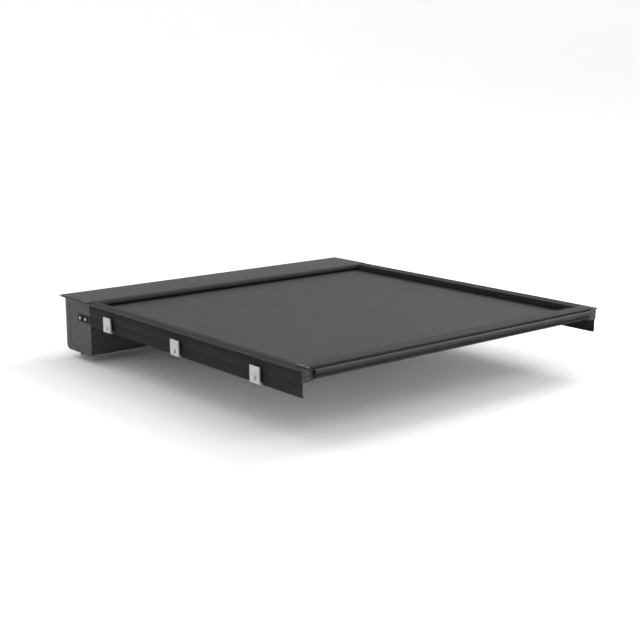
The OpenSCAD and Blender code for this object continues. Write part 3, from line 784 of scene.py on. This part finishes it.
def end_plate(name, side):
    """A 4 mm plate with a shallow pressed field, and a flange that carries the lid."""
    rear, front, floor = CANISTER_REAR, SHELL_FRONT, CANISTER_LOW
    outline = fillet([(rear, 0, 0.5), (rear, floor, CORNER), (front, floor, CORNER), (front, 0, 0.5)])
    field = fillet([(-182, -14, 12), (-182, -84, 12), (-168, -104, 6), (-168, -184, 18), (-38, -184, 18),
                    (-38, -14, 12)])
    obj = mesh_object(name + "_pressing",
                      sweep(bmesh.new(), [outline], "x", between(side, END_IN, LEG_IN), 0.5))
    carve(obj, sweep(bmesh.new(), [field], "x", between(side, LEG_IN - 0.8, LEG_IN + 2)))
    flange = block(bmesh.new(), between(side, END_IN, FLANGE_OUT), (rear, front - SHEET), (-0.2, 3.0), 0)
    carve(obj, flange, "UNION")
    places = [(y, z, 2.7) for y, z, _ in PORTS] + [(y, BOLT_Z, JOINER_HOLE) for y in JOINER_Y]
    carve(obj, holes_along("x", places, between(side, END_IN - 3, HALF + 2)))
    corner = [(x, y, LID_HOLE) for x, y in LID_SCREWS if x * side > END_IN]
    carve(obj, holes_along("z", corner, (-10, 10)))
    dress(obj, name)


def mouth_brush():
    """Holder with three rows of bristle tufts of uneven length."""
    draw = random.Random(7)
    end, root, rear, front = END_IN - 3, NOSE_LOW - 3.8, NOSE_REAR + 3, NOSE_REAR + 13
    holder = [(rear, NOSE_LOW, 0.2), (rear, NOSE_LOW - 4, 0.7), (front, NOSE_LOW - 4, 0.7),
              (front, NOSE_LOW, 0.2)]
    bm = sweep(bmesh.new(), [fillet(holder)], "x", [-end, end], 0.3)
    count = 620
    square = ((-1, -1), (1, -1), (1, 1), (-1, 1))
    for i in range(count):
        x = -end + 1.2 + (2 * end - 2.4) * (i + 0.5) / count
        for y in (-185.6, -184.2, -182.9):
            lean_x, lean_y = draw.uniform(-0.7, 0.7), draw.uniform(-0.5, 0.5)
            tip_z = SKIN_TOP + draw.uniform(0.3, 0.9)
            top = [bm.verts.new(point("z", root, x + a * 0.75, y + b * 0.5)) for a, b in square]
            tip = [bm.verts.new(point("z", tip_z, x + lean_x + a * 0.75, y + lean_y + b * 0.4))
                   for a, b in square]
            bm.faces.new(top)
            bm.faces.new(tip)
            for k in range(4):
                bm.faces.new((top[k], top[(k + 1) % 4], tip[(k + 1) % 4], tip[k]))
    piece("mouth_brush_strip", bm, "mouth_brush")


# ---------- drum and drive ----------

def roller():
    """Turned roller with relief grooves, and a flanged bush at each end."""
    end, stub, r = 660.0, END_IN - 3, ROLLER_R
    outline = [(0, -stub), (3.6, -stub), (4.0, 0.6 - stub), (4.0, -end), (r - 0.6, -end), (r, 0.8 - end)]
    for k in range(-4, 5):
        at = 150 * k
        outline += [(r, at - 3), (r - 0.6, at - 2.4), (r - 0.6, at + 2.4), (r, at + 3)]
    outline += [(r, end - 0.8), (r - 0.6, end), (4.0, end), (4.0, stub - 0.6), (3.6, stub), (0, stub)]
    piece("guide_roller_tube", lathe(bmesh.new(), outline, ROLLER, "x", 48), "guide_roller")
    bm = bmesh.new()
    for s in (1, -1):
        lathe(bm, [(4.05, s * (end + 4)), (7.6, s * (end + 4)), (8.0, s * (end + 4.6)),
                   (8.0, s * (END_IN - 3)), (8.5, s * (END_IN - 2.6)), (8.5, s * END_IN), (0, s * END_IN),
                   (0, s * (END_IN - 1.5)), (4.05, s * (END_IN - 1.5))], ROLLER, "x", 40, closed=True)
    piece("guide_roller_end_bushes", bm, "guide_roller_bushes")


def drum():
    """Drum tube with a keyway that holds the leader's edge, and the parts that carry it."""
    slot = 2.4 / DRUM_R * 90 / math.pi
    rim = arc(DRUM, DRUM_R, slot, 360 - slot, 64) + arc(DRUM, DRUM_R - 1.6, -slot, slot, 2)
    bm = sweep(bmesh.new(), [rim, circle(*DRUM, BORE_R, 64)], "x", [-DRUM_END, 0, DRUM_END])
    piece("drum_tube_extrusion", bm, "drum_tube")
    fit = BORE_R - 0.05
    spokes = [circle(*p, 4, 24) for p in arc(DRUM, 17, 0, 300, 5)]
    bm = sweep(bmesh.new(), [circle(*DRUM, fit, 64), circle(*DRUM, 6.05), *spokes], "x", CROWN_ENDS)
    piece("drive_crown_moulding", bm, "drive_crown")
    inner, outer = HEAD_ENDS
    bm = lathe(bmesh.new(), [(fit - 0.8, inner), (fit, inner + 1), (fit, DRUM_END), (DRUM_R, DRUM_END),
                             (DRUM_R, outer - 0.6), (29.4, outer), (23.05, outer), (23.05, inner)],
               DRUM, "x", 64, closed=True)
    piece("head_ring_moulding", bm, "head_ring")
    shaft, inner = PLUG_ENDS
    bm = lathe(bmesh.new(), [(0, shaft), (5.4, shaft), (6, shaft + 0.6), (6, -outer), (29.4, -outer),
                             (DRUM_R, 0.6 - outer), (DRUM_R, -DRUM_END), (fit, -DRUM_END),
                             (fit, inner - 21), (fit - 0.8, inner - 20.4), (fit - 0.8, inner - 18.6),
                             (fit, inner - 18), (fit, inner - 1), (fit - 1, inner), (22, inner),
                             (22, inner - 34), (0, inner - 34)], DRUM, "x", 64)
    piece("idler_plug_moulding", bm, "idler_plug")


def drum_mounts():
    """The idler bearing and the motor bracket, each a pressed plate with a boss."""
    y, z = DRUM
    plate = [(*corner, 6) for corner in rect(y - 28, y + 28, z - 28, z + 28)]
    bearing = mesh_object("idler_bearing_plate",
                          sweep(bmesh.new(), [fillet(plate)], "x", [-END_IN, -END_IN + 4], 0.5))
    boss = lathe(bmesh.new(), [(0, -END_IN + 1), (16, -END_IN + 1), (16, -END_IN + 9), (15, -END_IN + 10),
                               (0, -END_IN + 10)], DRUM, "x", 48)
    carve(bearing, boss, "UNION")
    corners = [(y + u, z + v, 2.2) for u in (-21, 21) for v in (-21, 21)]
    carve(bearing, holes_along("x", corners, (-END_IN - 2, -END_IN + 6)))
    carve(bearing, holes_along("x", [(*DRUM, 6.05)], (-END_IN + 2, -END_IN + 12), 40))
    dress(bearing, "idler_bearing")
    plate = [(*corner, 7) for corner in rect(y - 32, y + 32, z - 32, z + 32)]
    bracket = mesh_object("motor_bracket_plate",
                          sweep(bmesh.new(), [fillet(plate)], "x", [END_IN - 4, END_IN], 0.5))
    boss = block(bmesh.new(), (END_IN - 10, END_IN - 1), (y - 18, y + 18), (z - 18, z + 18), 1.0)
    carve(bracket, boss, "UNION")
    corners = [(y + u, z + v, 2.2) for u in (-25, 25) for v in (-25, 25)]
    carve(bracket, holes_along("x", corners, (END_IN - 6, END_IN + 2)))
    socket = block(bmesh.new(), (END_IN - 12, END_IN - 3.8), (y - 8.2, y + 8.2), (z - 8.2, z + 8.2), 0)
    dress(carve(bracket, socket), "motor_bracket")


def motor():
    """Tubular motor: shaft, crimped body, head with a flange and a square boss."""
    r = 22.5
    shaft, boss = MOTOR_ENDS
    body_from, head_from, flange = shaft + 26, shaft + 434, boss - 12
    outline = [(0, shaft), (5.5, shaft), (6, shaft + 0.6), (6, body_from), (r - 1, body_from),
               (r, body_from + 1)]
    for crimp in (30, 98, 238, 368):
        at = body_from + crimp
        outline += [(r, at), (r - 0.7, at + 0.6), (r - 0.7, at + 2.6), (r, at + 3.2)]
    outline += [(r, head_from), (23, head_from + 0.6), (23, flange - 8), (27.4, flange - 8),
                (28, flange - 7.4), (28, flange - 0.6), (27.4, flange), (0, flange)]
    body = mesh_object("tubular_motor_body", lathe(bmesh.new(), outline, DRUM, "x", 56))
    y, z = DRUM
    square = block(bmesh.new(), (flange - 1, boss), (y - 8, y + 8), (z - 8, z + 8), 0.8)
    carve(body, square, "UNION")
    dress(body, "tubular_motor")


def leader_sheet():
    """The sheet from the first slat over the roller and most of a turn round the drum, where it is fixed."""
    thick, roll_r, drum_r, wrap = 1.2, ROLLER_R + 0.3, DRUM_R + 0.4, 330.0
    off = (DRUM[0] - ROLLER[0], DRUM[1] - ROLLER[1])
    lean = math.degrees(math.atan2(off[1], off[0])
                        + math.acos((roll_r - drum_r) / math.hypot(*off)))
    start = CURTAIN_FRONT + 0.2

    def side(extra):
        return [Vector((start, ROLLER[1] + roll_r + extra)), *arc(ROLLER, roll_r + extra, 90, lean, 10),
                *arc(DRUM, drum_r + extra, lean, lean - wrap, 64)]

    width = 640.0
    across = [width * k / 4 for k in range(-4, 5)]
    bm = sweep(bmesh.new(), [side(0) + side(thick)[::-1]], "x", across)
    made = piece("leader_sheet_web", bm, "leader_sheet")


# ---------- fittings on the canister ----------

def spouts():
    """Barbed hose spouts under the canister's drains."""
    bm = bmesh.new()
    top = CANISTER_LOW
    outline = [(15.0, top), (15.0, top - 2.2), (14.2, top - 3), (9.6, top - 3), (8.0, top - 4.4)]
    for barb in (11, 16, 21):
        outline += [(8.0, top - barb), (7.2, top - barb - 0.3)]
    outline += [(7.6, top - 26), (7.0, top - 27), (6.0, top - 27), (6.0, top)]
    for side in (1, -1):
        lathe(bm, outline, (side * DRAIN[0], DRAIN[1]), "z", 48, closed=True)
    piece("drain_spout_mouldings", bm, "drain_spouts")


def controls():
    """The control housing, with a countersunk well and a button on each side."""
    (x0, x1), (front, back), (z0, z1) = PANEL
    obj = mesh_object("control_housing_moulding",
                      sweep(bmesh.new(), [fillet(rect(x0, x1, z0, z1), 6, 6)], "y", [front, back], 1.2))
    inner = fillet(rect(x0 + 3, x1 - 3, z0 + 3, z1 - 3), 4, 4)
    carve(obj, sweep(bmesh.new(), [inner], "y", [front + 3, back + 2]))
    wells = bmesh.new()
    for name in BUTTONS:
        lathe(wells, [(0, front - 2), (11.6, front - 2), (9.3, front + 1.1), (9.3, front + 4),
                      (0, front + 4)], (middle(name, "x"), BUTTON_Z), "y", 48)
    dress(carve(obj, wells), "control_housing")
    for name, up in zip(BUTTONS, (1, -1)):
        button(name, up)


def button(name, up):
    """A dished round button with a raised arrow, up to open and down to close."""
    x, y, z = middle(name, "x"), PANEL[1][0], BUTTON_Z
    bm = lathe(bmesh.new(), [(0, y - 3.6), (5.0, y - 3.7), (7.6, y - 4.0), (8.5, y - 3.6), (9.0, y - 2.8),
                             (9.0, y + 3.3), (11.0, y + 3.3), (11.0, y + 5.3), (9.0, y + 5.3),
                             (9.0, y + 9.5), (0, y + 9.5)], (x, z), "y", 56)
    obj = mesh_object(name + "_cap", bm)
    arrow = [(x - 3.4, z - 1.6 * up, 0.4), (x + 3.4, z - 1.6 * up, 0.4), (x, z + 3.4 * up, 0.4)]
    carve(obj, sweep(bmesh.new(), [fillet(arrow)], "y", [y - 3.95, y - 3.0]), "UNION")
    dress(obj, name)


def board():
    """Circuit board with two push switches, two relays, a terminal strip and round capacitors."""
    x0, x1 = low("control_board", "x"), high("control_board", "x")
    z0, z1 = low("control_board", "z"), high("control_board", "z")
    back = high("control_board", "y")
    face = back - 1.6
    top = low("control_board", "y")
    bm = sweep(bmesh.new(), [fillet(rect(x0, x1, z0, z1), 2.0)], "y", [face, back], 0.2)
    piece("control_board_panel", bm, "control_board")
    parts = bmesh.new()
    for name in BUTTONS:
        x = middle(name, "x")
        block(parts, (x - 6, x + 6), (face - 3.2, face), (BUTTON_Z - 6, BUTTON_Z + 6), 0.4)
        lathe(parts, [(0, face - 3.1), (3.5, face - 3.1), (3.3, top + 0.2), (0, top)], (x, BUTTON_Z), "y", 24)
    for x in (-508, -499):
        block(parts, (x, x + 7.5), (face - 3.9, face), (z0 + 6, z0 + 24), 0.5)
    for k in range(4):
        left = x1 - 20 + k * 4.6
        block(parts, (left, left + 4.2), (face - 3.8, face), (z0 + 2, z0 + 8), 0.4)
    for k in range(3):
        lathe(parts, [(0, face - 3.8), (2.0, face - 3.8), (2.3, face - 3.5), (2.3, face), (0, face)],
              (x0 + 6 + k * 6.5, z1 - 5), "y", 24)
    piece("control_board_components", parts, slot="acetal_black")


def socket():
    """Round two-pin inlet with a flange."""
    y = CANISTER_REAR
    bm = lathe(bmesh.new(), [(0, y), (16, y), (16, y - 2.2), (15.2, y - 3), (11, y - 3), (11, y - 13.2),
                             (10.2, y - 14), (8.5, y - 14), (8.5, y - 4), (0, y - 4)], SOCKET, "y", 56)
    obj = mesh_object("power_socket_moulding", bm)
    key = block(bmesh.new(), (SOCKET[0] - 1.5, SOCKET[0] + 1.5), (y - 13, y - 3.5),
                (SOCKET[1] + 7.2, SOCKET[1] + 9.0), 0.2)
    dress(carve(obj, key, "UNION"), "power_socket")
    pins = bmesh.new()
    for dx in (-3.5, 3.5):
        lathe(pins, [(0, y - 12), (0.8, y - 12), (1.2, y - 11.2), (1.2, y - 4), (0, y - 4)],
              (SOCKET[0] + dx, SOCKET[1]), "y", 20)
    piece("power_socket_pins", pins, slot="zinc_steel")


# ---------- assembly ----------

slats()
skin()
lead_bar()
tail_seal()
rail("rail_right", 1)
rail("rail_left", -1)
rail_trim()
clamps()
side_fasteners()
lid_screws()
shell()
lid()
end_plate("end_plate_right", 1)
end_plate("end_plate_left", -1)
mouth_brush()
roller()
drum()
drum_mounts()
motor()
leader_sheet()
spouts()
controls()
board()
socket()


# ---------- studio ----------

def cove():
    """A pale floor that curves up into a round wall."""
    floor, flat, bend, steps = -0.236, 6.0, 3.0, 96
    outline = [(0.0, 0.0), (flat, 0.0)]
    outline += [(flat + bend * math.sin(a), bend * (1 - math.cos(a)))
                for a in (k * math.pi / 16 for k in range(1, 9))]
    outline.append((flat + bend, 5.0))
    rows = []
    bm = bmesh.new()
    for r, z in outline:
        turns = [k * math.tau / steps for k in range(steps if r else 1)]
        rows.append([bm.verts.new((r * math.cos(a), r * math.sin(a) - 0.7, floor + z)) for a in turns])
    for a, b in zip(rows, rows[1:]):
        for k in range(steps):
            m = (k + 1) % steps
            bm.faces.new(list(dict.fromkeys([a[k % len(a)], b[k], b[m], a[m % len(a)]])))
    made = mesh_object("studio_cove", bm)
    made.data.materials.append(finish_of("studio_paper", (0.93, 0.93, 0.93), 0.9, spread=0.01, mottle=0.8,
                                         grain=(60.0, 0.05)))


def lamp(name, place, size, power):
    data = bpy.data.lights.new(name, "AREA")
    data.shape, data.size, data.energy = "DISK", size, power
    made = bpy.data.objects.new(name, data)
    made.location = place
    made.rotation_euler = (Vector((0, -0.7, 0)) - made.location).to_track_quat("-Z", "Y").to_euler()
    bpy.context.scene.collection.objects.link(made)


def camera():
    """At the photograph's angle: behind the left rear corner and a little above."""
    data = bpy.data.cameras.new("photo_camera")
    data.sensor_width, data.lens = 36.0, 66.0
    made = bpy.data.objects.new("photo_camera", data)
    made.location = (-2.776, -4.054, 0.881)
    made.rotation_euler = (Vector((0.0, -0.72, -0.07)) - made.location).to_track_quat("-Z", "Y").to_euler()
    bpy.context.scene.collection.objects.link(made)
    bpy.context.scene.camera = made


def studio():
    cove()
    world = bpy.data.worlds.new("studio_world")
    world.use_nodes = True
    world.node_tree.nodes["Background"].inputs["Color"].default_value = (1.0, 1.0, 1.0, 1.0)
    world.node_tree.nodes["Background"].inputs["Strength"].default_value = 0.95
    bpy.context.scene.world = world
    lamp("key_light", (4.6, -0.4, 4.0), 2.6, 145.0)
    lamp("front_light", (1.6, -4.8, 4.0), 3.0, 60.0)
    lamp("back_light", (-2.0, 4.2, 3.6), 3.0, 40.0)
    camera()
    settings = bpy.context.scene.view_settings
    settings.view_transform = "Standard"
    settings.look = "None"


studio()
